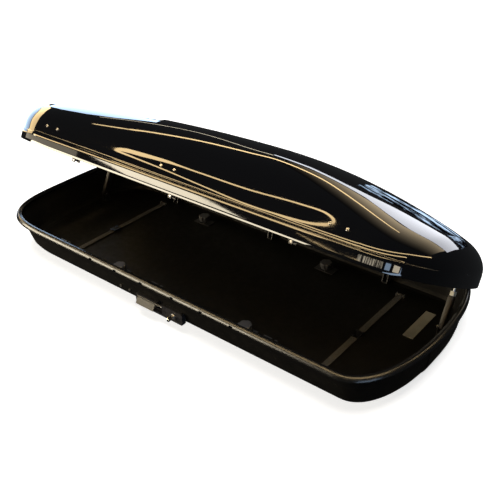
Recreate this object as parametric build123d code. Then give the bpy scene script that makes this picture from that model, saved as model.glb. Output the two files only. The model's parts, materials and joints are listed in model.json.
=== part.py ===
"""Roof cargo box: tub, hinged lid, side latch, lid lifters and four roof-bar clamps.

Frame: millimetres, +X towards the nose, -Y the side that opens, +Z up.
Origin: centre of the raised panel under the tub.
The lid stands open. Its pieces are drawn closed, then turned about the hinge by LID_OPEN.
"""
import os
from math import atan2, cos, degrees, hypot, pi, radians, sin, tan

from build123d import *

# Overall size
HALF_LENGTH = 1025          # rim, nose to tail, halved
HALF_WIDTH = 412            # rim, halved
FRONT_END, FRONT_POWER = 195, 2.234    # length and roundness of the nose end of the outline
REAR_END, REAR_POWER = 393, 3.634      # the same for the tail
WALL = 4                    # moulded sheet

# Tub: height, then how far the outline lies inside the rim at the sides, nose and tail
TUB_LEVELS = [
    (3, 64, 48, 86), (9, 50, 36, 70), (23, 42, 27, 60),
    (43, 38, 22, 52), (83, 30, 16, 36), (125, 14, 14, 14),
]
FLOOR_OUT, FLOOR_IN = 3, 7
RIM_Z = 138                 # centre of the rounded rim
RIM_RADIUS = 13
RIM_SLOT_X = (-354, -206, -56, 112, 259, 404)

# Lid
SKIRT_OUT = 10              # skirt stands outside the rim
SKIRT_BOTTOM, SKIRT_TOP = 123, 170
ARCH_OUT, ARCH_BASE = 4, 172           # the arch starts just inside the skirt's top edge
NOSE_POWER, TAIL_POWER = 1.90, 2.69    # roundness of the arch at the nose and at the tail
CROWN, CROWN_X = 403, 200              # highest point and where it lies
NOSE_FALL, TAIL_FALL = 0.212e-3, 0.0585e-3  # drop of the crown per mm squared
NOSE_ROUND, TAIL_ROUND = 85, 38       # rounding of the crown into the end faces
LID_TIP = 1034              # last cross-section at each end
END_STEPS, MIDDLE_STEPS = 10, 8        # cross-sections along each end and along the middle
SCREW_X, SCREW_Z = (-730, -660, -48, 20, 696, 760), 212

# Lid hinge and lifters
HINGE_Y, HINGE_Z = 358, 78
HINGE_X = (-600, 0, 600)
LID_OPEN = 29.75            # degrees
PIN = 4                     # radius of hinge, striker and lifter pins
RUN = 0.05                  # running clearance on a radius
FIT = 0.02                  # clearance of a pin in the wall that holds it
LIFTER_X = (("front", 945), ("rear", -915))
LIFTER_FOOT = (140, 48)     # y, z of the lower pivot
LIFTER_TOP = (266, 264)     # y, z of the upper pivot, lid open
TUBE_START, TUBE_END, COLLAR_END = 12, 124, 140    # along the lifter
ROD_START = 118
SLACK = 2.5                 # play of the rod's eye on the lid's pin

# Latch
STRIKER_X = (-560, 0, 560)
STRIKER_Y, STRIKER_Z = -362, 112
HOOK_Y = (-366, -362)
RAIL_Y = (-362, -358)
RAIL_Z = (64, 84)
RAIL_X = (-600, 610)
GUIDE_X = (-420, -200, 230, 420)

# Handle, bell crank and lock
CRANK_X, CRANK_Z = 40, 48
CRANK_Y = (-357, -353)
CRANK_UP, CRANK_OUT = 26, 26.6         # arm to the rail, arm to the handle's tail
CRANK_HALF = 23                        # degrees each side of its middle
HANDLE_Y, HANDLE_Z = -388, 48
HANDLE_HALF = 17.5                     # degrees each side of the tail's middle
TAIL_LENGTH = 36
KEY_X, KEY_Z = 90, 33
RIVET_X, RIVET_Z = (-222, -170), 42    # two rivets in the near wall

# Roof-bar clamps
CLAMP_X, CLAMP_Y = 350, 270
CLAMP_NAMES = (("front_near", 1, -1), ("front_far", 1, 1), ("rear_near", -1, -1), ("rear_far", -1, 1))
FOOT_Z = -40
PAD_Z = -8
CLAW_X, CLAW_Z, CLAW_PIN = 44, -12, 3
JAW_X = (51, 56)            # fixed jaw's faces
SPINDLE = 5                 # radius
SOCKET_Z = 0                # bottom of the spindle's socket in the base
KNOB_Z = (20, 42)
KNOB_RADIUS, GRIP_AT, GRIP_RADIUS = 27, 33, 9      # six hollows in the knob's edge

# Loose equipment
STRAP_X = (("rear", -640), ("front", 700))

parts = {}


def add(name, *solids, turn=False):
    """Keeps the solids under a node's name; lid pieces are turned open."""
    shape = Compound(children=list(solids)) if len(solids) > 1 else solids[0]
    if turn:
        shape = shape.rotate(Axis((0, HINGE_Y, HINGE_Z), (1, 0, 0)), -LID_OPEN)
    parts[name] = shape


def box(x, y, z):
    """A box from three (low, high) pairs."""
    size = [high - low for low, high in (x, y, z)]
    return Pos((x[0] + x[1]) / 2, (y[0] + y[1]) / 2, (z[0] + z[1]) / 2) * Box(*size)


def rod(start, end, radius):
    """A cylinder from one point to another."""
    start, end = Vector(start), Vector(end)
    plane = Plane(start, z_dir=end - start)
    return extrude(plane * Circle(radius), (end - start).length)


def plate(points, axis, low, high):
    """A flat plate across the x or the y axis; points are in the order of the other two axes."""
    if axis == "x":
        face = make_face(Polyline([(low, a, b) for a, b in points], close=True))
        return extrude(face, high - low, dir=(1, 0, 0))
    face = make_face(Polyline([(a, low, b) for a, b in points], close=True))
    return extrude(face, high - low, dir=(0, 1, 0))


def quarter(length, width, power, count=9):
    """Points of a superellipse quarter, from its side to its tip."""
    angles = [pi / 2 * (1 - i / count) for i in range(count + 1)]
    return [(length * max(cos(a), 0) ** (2 / power), width * sin(a) ** (2 / power)) for a in angles]


def outline(z, side, nose, tail):
    """The box's closed plan outline at a height, inset from the rim."""
    half = HALF_WIDTH - side
    front_x, rear_x = HALF_LENGTH - FRONT_END, REAR_END - HALF_LENGTH
    front = quarter(FRONT_END - nose, half, FRONT_POWER)
    rear = quarter(REAR_END - tail, half, REAR_POWER)
    near_front = [(front_x + x, -y, z) for x, y in front]
    far_front = [(front_x + x, y, z) for x, y in reversed(front)]
    far_rear = [(rear_x - x, y, z) for x, y in rear]
    near_rear = [(rear_x - x, -y, z) for x, y in reversed(rear)]
    along, across = Vector(1, 0, 0), Vector(0, 1, 0)
    edges = [
        Line(near_rear[-1], near_front[0]),
        Spline(near_front, tangents=[along, across]),
        Spline(far_front, tangents=[across, -along]),
        Line(far_front[-1], far_rear[0]),
        Spline(far_rear, tangents=[-along, -across]),
        Spline(near_rear, tangents=[-across, along]),
    ]
    return make_face(Wire(edges))


def stack(levels):
    """A solid through outlines given as (z, side, nose, tail)."""
    return loft([outline(*level) for level in levels], ruled=True)


def even(z, inset):
    """A level with the same inset all round."""
    return (z, inset, inset, inset)


def crown_height(x):
    """Height of the lid's centre line at x."""
    fall = NOSE_FALL if x > CROWN_X else TAIL_FALL
    height = CROWN - fall * (x - CROWN_X) ** 2
    tip = HALF_LENGTH + SKIRT_OUT
    radius = NOSE_ROUND if x > 0 else TAIL_ROUND
    into = abs(x) - (tip - radius)
    if into > 0:
        height -= radius - (radius ** 2 - into ** 2) ** 0.5
    return height


def half_width(x, out, end_out):
    """Half the outline's width at x, with its sides and ends moved out."""
    front_x, rear_x = HALF_LENGTH - FRONT_END, REAR_END - HALF_LENGTH
    if x > front_x:
        share, power = (x - front_x) / (FRONT_END + end_out), FRONT_POWER
    elif x < rear_x:
        share, power = (rear_x - x) / (REAR_END + end_out), REAR_POWER
    else:
        share, power = 0, FRONT_POWER
    return (HALF_WIDTH + out) * (1 - share ** power) ** (1 / power)


def arch_power(x):
    """Roundness of the lid's cross-section at x: squarer at the tail, rounder at the nose."""
    share = (x + LID_TIP) / (2 * LID_TIP)
    return TAIL_POWER + (NOSE_POWER - TAIL_POWER) * share


def arch_y(x, z, wall=0):
    """Distance of the lid's side from the centre plane at x and z, moved inwards by a wall."""
    rise = (z - ARCH_BASE) / (crown_height(x) - wall - ARCH_BASE)
    power = arch_power(x)
    return half_width(x, ARCH_OUT - wall, SKIRT_OUT - wall) * (1 - rise ** power) ** (1 / power)


def arch_z(x, y):
    """Height of the lid's outer side at x and y."""
    share = abs(y) / half_width(x, ARCH_OUT, SKIRT_OUT)
    power = arch_power(x)
    return ARCH_BASE + (crown_height(x) - ARCH_BASE) * (1 - share ** power) ** (1 / power)


def near_wall(x, z):
    """A point of the lid's near side and the outward direction there."""
    lean = atan2(arch_y(x, z - 1) - arch_y(x, z + 1), 2)
    return Vector(x, -arch_y(x, z), z), Vector(0, -cos(lean), sin(lean))


def lid_stations():
    """Places of the lid's cross-sections, closer together towards its ends."""
    front_x, rear_x = HALF_LENGTH - FRONT_END, REAR_END - HALF_LENGTH
    bends = [sin(pi / 2 * i / END_STEPS) for i in range(1, END_STEPS + 1)]
    tail = [rear_x - (LID_TIP + rear_x) * bend for bend in reversed(bends)]
    middle = [rear_x + (front_x - rear_x) * i / MIDDLE_STEPS for i in range(MIDDLE_STEPS + 1)]
    nose = [front_x + (LID_TIP - front_x) * bend for bend in bends]
    return tail + middle + nose


def lid_section(x, wall, bottom):
    """The lid's cross-section at x, moved inwards by a wall."""
    skirt = half_width(x, SKIRT_OUT - wall, SKIRT_OUT - wall)
    arch = half_width(x, ARCH_OUT - wall, SKIRT_OUT - wall)
    rise = crown_height(x) - wall - ARCH_BASE
    power = arch_power(x)
    count = 12
    curve = []
    for i in range(2 * count + 1):
        angle = pi * (1 - i / (2 * count))
        side, up = cos(angle), sin(angle)
        y = arch * (abs(side) ** (2 / power)) * (1 if side > 0 else -1)
        curve.append((x, y, ARCH_BASE + rise * max(up, 0) ** (2 / power)))
    corner_top = SKIRT_TOP - wall / 2
    edges = [
        Line((x, skirt, bottom), (x, -skirt, bottom)),
        Line((x, -skirt, bottom), (x, -skirt, corner_top)),
        Line((x, -skirt, corner_top), curve[0]),
        Spline(curve),
        Line(curve[-1], (x, skirt, corner_top)),
        Line((x, skirt, corner_top), (x, skirt, bottom)),
    ]
    return make_face(Wire(edges))


def lid_solid(wall, bottom, shrink):
    """The lid's full body, moved inwards by a wall."""
    sections = [lid_section(x * (1 - shrink / LID_TIP), wall, bottom) for x in lid_stations()]
    return loft(sections, ruled=True)


def make_tub():
    """Tub with its bottom panel and its openings, and the rounded rim on its edge."""
    inner = [(z, side + WALL, nose + WALL, tail + WALL) for z, side, nose, tail in TUB_LEVELS]
    inner[0] = (FLOOR_IN, *inner[0][1:])
    inner[1] = (FLOOR_IN + 4, *inner[1][1:])
    tub = stack(TUB_LEVELS) - stack(inner + [even(inner[-1][0] + 1, inner[-1][1])])
    tub += box((-450, 450), (-80, 80), (0, FLOOR_OUT + 1))
    for _, side_x, side_y in CLAMP_NAMES:
        tub -= rod((side_x * CLAMP_X, side_y * CLAMP_Y, -1), (side_x * CLAMP_X, side_y * CLAMP_Y, 9), 8)
    tub -= box((4, 25), (-400, -350), (30, 66))
    tub -= rod((KEY_X, -400, KEY_Z), (KEY_X, -350, KEY_Z), 14)
    for x in RIVET_X:
        tub -= rod((x, -400, RIVET_Z), (x, -350, RIVET_Z), 3)
    add("tub_shell", tub)

    z, r = RIM_Z, RIM_RADIUS
    outside = [(-r, 11), (-8, 3), (0, 0), (8, 3), (r, 11)]
    inside = [(-r - 1, 24), (-8, 26), (8, 26), (r + 1, 18)]
    rim = stack([even(z + dz, inset) for dz, inset in outside])
    rim -= stack([even(z + dz, inset) for dz, inset in inside])
    for x in RIM_SLOT_X:
        rim -= box((x - 7, x + 7), (-413, -402), (z - r - 1, z - 3))
    add("rim_trim", rim)


def make_lid():
    """Lid shell with its screws, rivets, inner rails and stiffeners."""
    shell = lid_solid(0, SKIRT_BOTTOM, 0) - lid_solid(WALL, SKIRT_BOTTOM - 1, WALL)
    screws, rivets = [], []
    for x in SCREW_X:
        point, outward = near_wall(x, SCREW_Z)
        head = rod(point + outward * 0.5, point + outward * 4, 6)
        screws.append(chamfer(head.edges().sort_by(Axis(point, outward))[-1], 1.2))
    for i in range(8):
        x, y = -330 + 75 * i, 70
        z = arch_z(x, y)
        rivets.append(rod((x, y, z + 0.7), (x, y, z + 2.2), 4.5))
    add("lid_shell", shell, turn=True)
    add("lid_side_screws", *screws, turn=True)
    add("lid_roof_rivets", *rivets, turn=True)

    for name, side in (("near", -1), ("far", 1)):
        y = sorted((side * 378, side * 404))
        beam = box((-740, 760), y, (178, 194)) - box((-741, 761), (y[0] + 2, y[1] - 2), (180, 192))
        add(f"lid_rail_{name}", beam, turn=True)
    for name, x in LIFTER_X:
        end_x = x + 20 if x > 0 else x - 20
        reach = arch_y(end_x, 238, WALL) - 4
        beam = box((x - 20, x + 20), (-reach, reach), (222, 238))
        beam -= box((x - 18, x + 18), (-reach - 1, reach + 1), (224, 236))
        add(f"lid_stiffener_{name}", beam, turn=True)


def make_hinges():
    """Three hinges at the far side: bracket and pin on the tub, gooseneck arm on the lid."""
    brackets, pins, arms = [], [], []
    y, z = HINGE_Y, HINGE_Z
    for x in HINGE_X:
        cheek = [(y - 34, FLOOR_IN), (y - 22.5, FLOOR_IN), (y - 11, 13), (y, 24), (y + 6, 43),
                 (y + 10, z - 4), (y + 7, z + 8), (y - 9, z + 8)]
        bracket = plate(cheek, "x", x - 14, x - 9) + plate(cheek, "x", x + 9, x + 14)
        bracket += box((x - 14, x + 14), (y - 34, y - 23), (FLOOR_IN, FLOOR_IN + 4))
        brackets.append(bracket - rod((x - 20, y, z), (x + 20, y, z), PIN + FIT))
        pin = rod((x - 14, y, z), (x + 14, y, z), PIN)
        pins.append(pin + rod((x - 17, y, z), (x - 14, y, z), 6))
        arm = [(y - 7, z - 2), (y + 7, z - 2), (y + 6, z + 6), (y - 19, z + 44), (y - 19, z + 92),
               (y + 49, z + 92), (y + 49, z + 100), (y - 34, z + 100), (y - 34, z + 40)]
        plate_arm = plate(arm, "x", x - 5, x + 5) + rod((x - 5, y, z), (x + 5, y, z), 9)
        foot = box((x - 16, x + 16), (y + 20, y + 49), (z + 96, z + 100))
        arms.append(plate_arm + foot - rod((x - 20, y, z), (x + 20, y, z), PIN + RUN))
    add("hinge_brackets", *brackets)
    add("hinge_pins", *pins)
    add("hinge_arms", *arms, turn=True)


def make_lifters():
    """Two telescopic lid lifters, between a foot on the tub and a lug on the lid."""
    foot_y, foot_z = LIFTER_FOOT
    top_y, top_z = LIFTER_TOP
    length = hypot(top_y - foot_y, top_z - foot_z)
    slope = degrees(atan2(top_z - foot_z, top_y - foot_y))
    closed_y, closed_z = turned(top_y, top_z, LID_OPEN)
    feet, lower_pins, lugs, upper_pins = [], [], [], []
    for name, x in LIFTER_X:
        cheek = [(foot_y - 10, FLOOR_IN), (foot_y + 22, FLOOR_IN),
                 (foot_y + 9, foot_z + 8), (foot_y - 9, foot_z + 8)]
        foot = plate(cheek, "x", x - 13, x - 10) + plate(cheek, "x", x + 10, x + 13)
        foot += box((x - 13, x + 13), (foot_y - 10, foot_y + 22), (FLOOR_IN, FLOOR_IN + 3))
        feet.append(foot - rod((x - 20, foot_y, foot_z), (x + 20, foot_y, foot_z), PIN + FIT))
        lower = rod((x - 13, foot_y, foot_z), (x + 13, foot_y, foot_z), PIN)
        lower_pins.append(lower + rod((x - 16, foot_y, foot_z), (x - 13, foot_y, foot_z), 6))

        place = Pos(x, foot_y, foot_z) * Rot(X=slope)
        tube = box((-7, 7), (TUBE_START, TUBE_END), (-12, 12)) + rod((-5, 0, 0), (5, 0, 0), 9)
        tube += box((-5, 5), (0, TUBE_START + 1), (-8, 8))
        tube -= rod((-9, 0, 0), (9, 0, 0), PIN + RUN)
        bore = rod((0, TUBE_START + 4, 0), (0, COLLAR_END + 1, 0), PIN + RUN)
        add(f"lifter_tube_{name}", place * (tube - bore))
        collar = fillet(box((-8, 8), (TUBE_END, COLLAR_END), (-13, 13)).edges().filter_by(Axis.Y), 3) - bore
        add(f"lifter_collar_{name}", place * collar)
        shaft = rod((0, ROD_START, 0), (0, length - 8, 0), PIN)
        eye = rod((-5, length, 0), (5, length, 0), PIN + SLACK + 4)
        bar = shaft + eye - rod((-9, length, 0), (9, length, 0), PIN + SLACK)
        add(f"lifter_rod_{name}", place * bar)

        lug_side = [(closed_y - 9, closed_z - 9), (closed_y + 9, closed_z - 9),
                    (closed_y + 14, 222), (closed_y - 14, 222)]
        lug = plate(lug_side, "x", x - 13, x - 10) + plate(lug_side, "x", x + 10, x + 13)
        lug += box((x - 13, x + 13), (closed_y - 14, closed_y + 14), (219, 222))
        lugs.append(lug - rod((x - 20, closed_y, closed_z), (x + 20, closed_y, closed_z), PIN + FIT))
        upper = rod((x - 13, closed_y, closed_z), (x + 13, closed_y, closed_z), PIN)
        upper_pins.append(upper + rod((x - 16, closed_y, closed_z), (x - 13, closed_y, closed_z), 6))
    add("lifter_feet", *feet)
    add("lifter_lower_pins", *lower_pins)
    add("lifter_lugs", *lugs, turn=True)
    add("lifter_upper_pins", *upper_pins, turn=True)


def turned(y, z, angle):
    """A point of the side view, turned about the lid's hinge."""
    c, s = cos(radians(angle)), sin(radians(angle))
    dy, dz = y - HINGE_Y, z - HINGE_Z
    return HINGE_Y + dy * c - dz * s, HINGE_Z + dy * s + dz * c


def make_latch():
    """Striker pins on the lid, and the sliding rail with its hooks on the tub."""
    y, z = STRIKER_Y, STRIKER_Z
    brackets, pins = [], []
    for x in STRIKER_X:
        cheek = [(x - 8, z - 8), (x + 8, z - 8), (x + 14, 178), (x - 14, 178)]
        bracket = plate(cheek, "y", y - 15, y - 12) + plate(cheek, "y", y + 11, y + 14)
        bracket += box((x - 14, x + 14), (-405, y + 14), (174, 178))
        brackets.append(bracket - rod((x, y - 20, z), (x, y + 20, z), PIN + FIT))
        pins.append(rod((x, y - 15, z), (x, y + 14, z), PIN) + rod((x, y + 14, z), (x, y + 17, z), 6))
    add("striker_brackets", *brackets, turn=True)
    add("striker_pins", *pins, turn=True)

    rail = box(RAIL_X, RAIL_Y, RAIL_Z)
    hooks, rivets = [], []
    for x in STRIKER_X:
        hook = box((x - 42, x + 18), HOOK_Y, (60, 128))
        hook -= box((x - 6, x + 6), (HOOK_Y[0] - 1, HOOK_Y[1] + 1), (106, 130))
        hook -= box((x - 28, x + 6), (HOOK_Y[0] - 1, HOOK_Y[1] + 1), (106, 118))
        for dx in (-30, 6):
            hole = rod((x + dx, HOOK_Y[0] - 3, 74), (x + dx, RAIL_Y[1] + 3, 74), 3)
            hook -= hole
            rail -= hole
            rivet = rod((x + dx, HOOK_Y[0] - 2, 74), (x + dx, RAIL_Y[1], 74), 3 - FIT)
            rivets.append(rivet + rod((x + dx, HOOK_Y[0] - 2, 74), (x + dx, HOOK_Y[0], 74), 5.5))
        hooks.append(hook)
    pin_x = CRANK_X - CRANK_UP * tan(radians(CRANK_HALF))
    drive_z = CRANK_Z + CRANK_UP
    rail += rod((pin_x, RAIL_Y[1] - 1, drive_z), (pin_x, CRANK_Y[1] + 1, drive_z), 2.5)
    add("latch_rail", rail)
    add("latch_hooks", *hooks)
    add("hook_rivets", *rivets)

    guides, play = [], 0.6
    for x in GUIDE_X:
        side = [(-372, 55), (-377.6, 83), (-380.4, 91), (-342, 91), (-342, 55)]
        guide = plate(side, "x", x - 12, x + 12)
        way = [(low - play, high + play) for low, high in (RAIL_Y, RAIL_Z)]
        guides.append(guide - box((x - 13, x + 13), *way))
    add("rail_guides", *guides)


def make_handle():
    """Pull handle, bell crank and key lock in the near side."""
    # Bezel outside the wall, open in its middle for the handle, with a boss for the lock
    bezel = box((-116, 140), (-392, -372), (8, 60))
    bezel = fillet(bezel.edges().filter_by(Axis.Y), 8)
    bezel -= box((-108, 30), (-393, -376), (14, 56))
    bezel -= box((4, 25), (-400, -360), (30, 66))
    lock_hole = rod((KEY_X, -400, KEY_Z), (KEY_X, -350, KEY_Z), 9 + RUN)
    wall_space = stack([(z, side - 0.3, nose, tail) for z, side, nose, tail in TUB_LEVELS])
    bezel = bezel - wall_space - lock_hole
    sleeve = rod((KEY_X, -392, KEY_Z), (KEY_X, -352, KEY_Z), 13) - lock_hole
    bezel = keep_largest(bezel)
    bezel -= rod((KEY_X, -400, KEY_Z), (KEY_X, -350, KEY_Z), 13 + FIT)
    bezel -= rod((-112, HANDLE_Y, HANDLE_Z), (34, HANDLE_Y, HANDLE_Z), 2.5 + FIT)
    add("lock_bezel", bezel)
    add("lock_sleeve", sleeve)
    add("handle_pin", rod((-111.8, HANDLE_Y, HANDLE_Z), (33.8, HANDLE_Y, HANDLE_Z), 2.5))

    # Flap drawn pushed in, with its tail at the top of its stroke, then turned out
    flap = box((-104, -6), (HANDLE_Y - 2, HANDLE_Y + 2), (HANDLE_Z - 32, HANDLE_Z))
    hub = rod((-104, HANDLE_Y, HANDLE_Z), (22, HANDLE_Y, HANDLE_Z), 5)
    flap = fillet(flap.edges().filter_by(Axis.Y), 1) + hub
    arm = Rot(X=HANDLE_HALF) * rod((0, 0, 0), (0, TAIL_LENGTH + 3, 0), 2.5)
    arm = Pos(CRANK_X - CRANK_OUT, HANDLE_Y, HANDLE_Z) * arm
    flap = flap + arm - rod((-110, HANDLE_Y, HANDLE_Z), (40, HANDLE_Y, HANDLE_Z), 2.5 + RUN)
    add("handle_flap", flap.rotate(Axis((0, HANDLE_Y, HANDLE_Z), (1, 0, 0)), -2 * HANDLE_HALF))

    # Crank drawn in the middle of its stroke, then turned back to its rest
    up, out = CRANK_UP, CRANK_OUT
    crank = box((-7, 7), CRANK_Y, (-5, up + 10)) + box((-out - 10, 5), CRANK_Y, (-8, 8))
    crank += rod((0, CRANK_Y[0], 0), (0, CRANK_Y[1], 0), 9)
    crank -= box((-3.2, 3.2), (CRANK_Y[0] - 1, CRANK_Y[1] + 1), (up - 3.5, up + 6))
    crank -= box((-out - 5.5, -out + 6.5), (CRANK_Y[0] - 1, CRANK_Y[1] + 1), (-4.5, 4.5))
    crank -= rod((0, CRANK_Y[0] - 1, 0), (0, CRANK_Y[1] + 1, 0), PIN + RUN)
    crank = crank.rotate(Axis((0, 0, 0), (0, 1, 0)), -CRANK_HALF)
    add("bell_crank", Pos(CRANK_X, 0, CRANK_Z) * crank)
    side = [(-349, 56), (-345, 56), (-345, 24), (-332, 11), (-318, 11),
            (-318, FLOOR_IN), (-335.5, FLOOR_IN), (-349, 21)]
    stand = plate(side, "x", CRANK_X - 8, CRANK_X + 8)
    stand += rod((CRANK_X, CRANK_Y[0] - 0.5, CRANK_Z), (CRANK_X, -348, CRANK_Z), PIN)
    stand += rod((CRANK_X, CRANK_Y[1] + 0.6, CRANK_Z), (CRANK_X, -348, CRANK_Z), 7)
    add("crank_stand", stand)

    # Lock cylinder with its keyway, the key in it, and the cam at its inner end
    cylinder = rod((KEY_X, -394, KEY_Z), (KEY_X, -349, KEY_Z), 9)
    cylinder -= box((KEY_X - 1.3, KEY_X + 1.3), (-395, -372), (KEY_Z - 4, KEY_Z + 4))
    add("lock_cylinder", cylinder)
    key = box((KEY_X - 1.1, KEY_X + 1.1), (-402, -374), (KEY_Z - 3.6, KEY_Z + 3.6))
    head = rod((KEY_X - 1.5, -412, KEY_Z), (KEY_X + 1.5, -412, KEY_Z), 12)
    key += head - rod((KEY_X - 3, -418, KEY_Z), (KEY_X + 3, -418, KEY_Z), 2.5)
    add("key", key)
    cam = rod((KEY_X, -349, KEY_Z), (KEY_X, -346, KEY_Z), 9)
    cam += box((KEY_X - 5, KEY_X + 5), (-349, -346), (KEY_Z - 20, KEY_Z))
    add("lock_cam", cam)


def keep_largest(shape):
    """The largest solid of a shape that a cut may have split."""
    return max(shape.solids(), key=lambda solid: solid.volume)


def make_clamps():
    """Four clamps: base and rubber pad under the floor, knob inside, one closing claw each."""
    bases, pads, pins, washers = [], [], [], []
    for name, side_x, side_y in CLAMP_NAMES:
        x, y = side_x * CLAMP_X, side_y * CLAMP_Y
        near, far = JAW_X
        base = box((x - far, x + far), (y - 30, y + 30), (-5, FLOOR_OUT))
        base += box((x + near, x + far), (y - 30, y + 30), (FOOT_Z, -4))
        base += box((x - far, x - near), (y - 30, y + 30), (FOOT_Z, -4))
        base += box((x - 52, x - 34), (y - 20, y + 20), (FOOT_Z, FOOT_Z + 5))
        for ear_y in (y - 25, y + 20):
            base += box((x + CLAW_X - 7, x + 52), (ear_y, ear_y + 5), (CLAW_Z - 6, -4))
        base -= rod((x + CLAW_X, y - 40, CLAW_Z), (x + CLAW_X, y + 40, CLAW_Z), CLAW_PIN + FIT)
        bases.append(base - rod((x, y, SOCKET_Z), (x, y, 9), SPINDLE + RUN))
        pads.append(box((x - 30, x + 30), (y - 25, y + 25), (PAD_Z, -5)))
        pins.append(rod((x + CLAW_X, y - 25, CLAW_Z), (x + CLAW_X, y + 25, CLAW_Z), CLAW_PIN))
        washers.append(box((x - 45, x + 45), (y - 25, y + 25), (FLOOR_IN, FLOOR_IN + 3)) - rod((x, y, 0), (x, y, 20), 8))

        claw = box((x + 41, x + 47), (y - 19.5, y + 19.5), (-37, CLAW_Z))
        claw += box((x + 33, x + 47), (y - 19.5, y + 19.5), (-37, -32))
        claw += rod((x + CLAW_X, y - 19.5, CLAW_Z), (x + CLAW_X, y + 19.5, CLAW_Z), 5.5)
        claw -= rod((x + CLAW_X, y - 21, CLAW_Z), (x + CLAW_X, y + 21, CLAW_Z), CLAW_PIN + RUN)
        add(f"clamp_claw_{name}", claw)

        low, high = KNOB_Z
        knob = rod((x, y, low), (x, y, high), KNOB_RADIUS)
        for i in range(6):
            grip_x, grip_y = x + GRIP_AT * cos(radians(60 * i)), y + GRIP_AT * sin(radians(60 * i))
            knob -= rod((grip_x, grip_y, low - 1), (grip_x, grip_y, high + 1), GRIP_RADIUS)
        knob = chamfer(knob.faces().sort_by(Axis.Z)[-1].edges(), 2.5)
        knob -= rod((x, y, low - 1), (x, y, high - 6), SPINDLE)
        add(f"clamp_knob_{name}", knob)
        spindle = rod((x, y, SOCKET_Z + 0.3), (x, y, high - 6), SPINDLE) + rod((x, y, 11), (x, y, low), 9)
        add(f"clamp_spindle_{name}", spindle)
    add("clamp_bases", *bases)
    add("bar_pads", *pads)
    add("claw_pins", *pins)
    add("clamp_washers", *washers)


def make_equipment():
    """Floor plate, load straps with their anchors and buckles, and small fasteners."""
    add("floor_plate", box((830, 872), (65, 250), (FLOOR_IN, FLOOR_IN + 2)))
    anchors, buckles = [], []
    for name, x in STRAP_X:
        low, high = FLOOR_IN + 3, FLOOR_IN + 4.6
        strap = box((x - 12.5, x + 12.5), (-280, 280), (low, high))
        for y in (-280, 280):
            strap += rod((x - 12.5, y, low + 4.6), (x + 12.5, y, low + 4.6), 4.6)
            strap -= rod((x - 13, y, low + 4.6), (x + 13, y, low + 4.6), 3)
            bar = rod((x - 15, y, low + 4.6), (x + 15, y, low + 4.6), 2.7)
            for ear_x in (x - 18, x + 15):
                bar += box((ear_x, ear_x + 3), (y - 6, y + 6), (FLOOR_IN, low + 9))
            anchors.append(bar)
        add(f"strap_{name}", strap)
        buckle = box((x - 17, x + 17), (-60, -18), (low - 2, high + 5))
        buckle -= box((x - 13, x + 13), (-61, -17), (low - 0.2, high + 0.2))
        buckles.append(fillet(buckle.edges().filter_by(Axis.Z).group_by(Axis.X)[0], 3))
    add("strap_anchors", *anchors)
    add("strap_buckles", *buckles)
    heads = [rod((x, -378.2, RIVET_Z), (x, -375.1, RIVET_Z), 5) for x in RIVET_X]
    shanks = [rod((x, -375.1, RIVET_Z), (x, -366, RIVET_Z), 2.8) for x in RIVET_X]
    add("wall_rivets", *[head + shank for head, shank in zip(heads, shanks)])


make_tub()
make_lid()
make_hinges()
make_lifters()
make_latch()
make_handle()
make_clamps()
make_equipment()

os.makedirs("parts", exist_ok=True)
for node, shape in parts.items():
    export_step(shape, f"parts/{node}.step")
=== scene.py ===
"""Roof cargo box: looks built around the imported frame.

Metres, +X towards the nose, -Y the side that opens, +Z up. The lid stands open at rest.
"""
import json
from math import atan2, copysign, cos, pi, radians, sin, sqrt

import bmesh
import bpy
import numpy as np
from mathutils import Matrix, Vector


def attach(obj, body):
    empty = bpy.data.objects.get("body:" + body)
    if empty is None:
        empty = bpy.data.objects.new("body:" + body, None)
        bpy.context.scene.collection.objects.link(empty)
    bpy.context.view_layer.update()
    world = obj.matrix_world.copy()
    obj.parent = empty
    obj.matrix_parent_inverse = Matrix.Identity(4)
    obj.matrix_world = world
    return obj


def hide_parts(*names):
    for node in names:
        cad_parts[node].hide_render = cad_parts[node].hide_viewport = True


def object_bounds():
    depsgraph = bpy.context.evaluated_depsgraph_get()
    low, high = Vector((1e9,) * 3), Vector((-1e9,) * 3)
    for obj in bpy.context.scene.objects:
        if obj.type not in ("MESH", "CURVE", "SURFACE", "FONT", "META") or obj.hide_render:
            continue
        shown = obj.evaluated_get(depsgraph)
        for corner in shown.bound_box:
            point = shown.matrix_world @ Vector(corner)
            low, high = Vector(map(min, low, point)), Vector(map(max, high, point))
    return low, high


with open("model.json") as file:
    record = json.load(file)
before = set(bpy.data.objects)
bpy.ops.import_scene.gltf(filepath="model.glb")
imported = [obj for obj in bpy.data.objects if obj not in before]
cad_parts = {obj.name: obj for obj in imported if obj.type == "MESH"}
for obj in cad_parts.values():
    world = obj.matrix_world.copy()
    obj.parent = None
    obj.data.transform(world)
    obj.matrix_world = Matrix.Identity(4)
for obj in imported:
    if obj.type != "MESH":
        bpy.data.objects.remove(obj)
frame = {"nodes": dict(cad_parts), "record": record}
cad_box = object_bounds()

# Outline of the rim
HALF_LENGTH, HALF_WIDTH = 1.025, 0.412
FRONT_END, FRONT_POWER = 0.195, 2.234
REAR_END, REAR_POWER = 0.393, 3.634

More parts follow.
